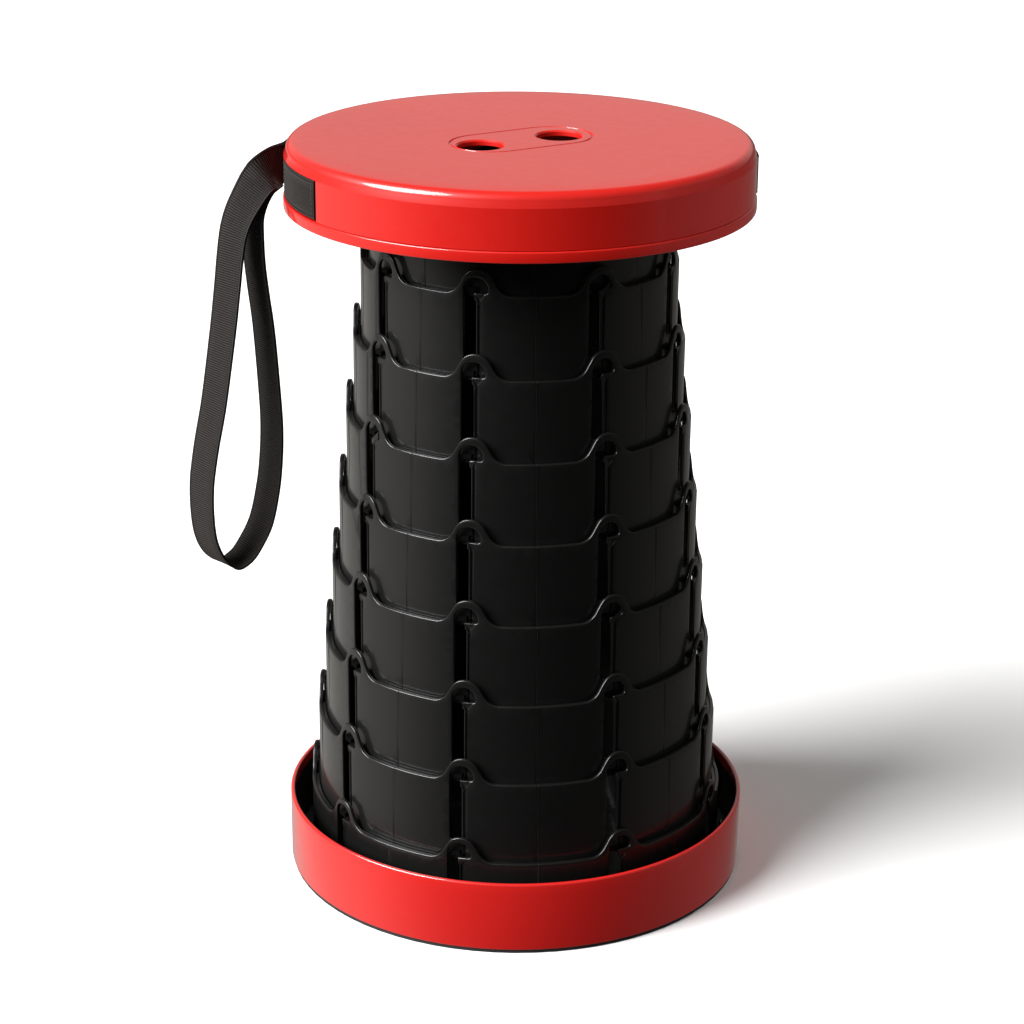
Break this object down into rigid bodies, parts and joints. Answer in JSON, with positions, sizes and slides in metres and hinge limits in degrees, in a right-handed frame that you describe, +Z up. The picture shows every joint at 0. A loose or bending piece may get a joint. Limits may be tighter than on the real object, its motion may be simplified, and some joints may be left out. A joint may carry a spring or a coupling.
{
  "type": "telescoping camp stool",
  "caption": "Round telescoping camp stool: scalloped nested rings with bayonet slots between a seat cap and a base tray, with a webbing carry strap.",
  "frame": {"origin": "centre of the foot ring's underside, where the stool stands", "axes": "+Z up along the telescoping axis, -Y towards the front; the strap hangs at -X"},
  "size_m": [0.3201, 0.266, 0.43],
  "materials": {
    "seat_red": "satin gloss moulded plastic",
    "band_red": "satin gloss moulded plastic",
    "base_red": "glossy moulded plastic",
    "ring_black": "satin black moulded plastic",
    "webbing": "ribbed woven webbing",
    "foot_rubber": "matte",
    "screw_steel": "zinc plated"
  },
  "bodies": {
    "base": {"base_tray": "base_red", "foot_ring": "foot_rubber", "ring_9": "ring_black", "base_screw_1": "screw_steel", "base_screw_2": "screw_steel", "base_screw_3": "screw_steel", "base_screw_4": "screw_steel"},
    "tube_8": {"ring_8": "ring_black"},
    "tube_7": {"ring_7": "ring_black"},
    "tube_6": {"ring_6": "ring_black"},
    "tube_5": {"ring_5": "ring_black"},
    "tube_4": {"ring_4": "ring_black"},
    "tube_3": {"ring_3": "ring_black"},
    "tube_2": {"ring_2": "ring_black"},
    "seat": {"ring_1": "ring_black", "seat_band": "band_red", "seat_panel": "seat_red", "seat_screw_1": "screw_steel", "seat_screw_2": "screw_steel", "seat_screw_3": "screw_steel", "seat_screw_4": "screw_steel", "strap_band": "webbing", "strap_loop": "webbing", "strap_patch": "webbing"}
  },
  "joints": [
    {"name": "ring_8_slide", "type": "slide", "parent": "base", "child": "tube_8", "axis": [0, 0, 1], "range_m": [-0.0438, 0]},
    {"name": "ring_7_slide", "type": "slide", "parent": "tube_8", "child": "tube_7", "axis": [0, 0, 1], "range_m": [-0.0438, 0]},
    {"name": "ring_6_slide", "type": "slide", "parent": "tube_7", "child": "tube_6", "axis": [0, 0, 1], "range_m": [-0.0438, 0]},
    {"name": "ring_5_slide", "type": "slide", "parent": "tube_6", "child": "tube_5", "axis": [0, 0, 1], "range_m": [-0.0438, 0]},
    {"name": "ring_4_slide", "type": "slide", "parent": "tube_5", "child": "tube_4", "axis": [0, 0, 1], "range_m": [-0.0438, 0]},
    {"name": "ring_3_slide", "type": "slide", "parent": "tube_4", "child": "tube_3", "axis": [0, 0, 1], "range_m": [-0.0438, 0]},
    {"name": "ring_2_slide", "type": "slide", "parent": "tube_3", "child": "tube_2", "axis": [0, 0, 1], "range_m": [-0.0438, 0]},
    {"name": "seat_slide", "type": "slide", "parent": "tube_2", "child": "seat", "axis": [0, 0, 1], "range_m": [-0.0438, 0]}
  ]
}
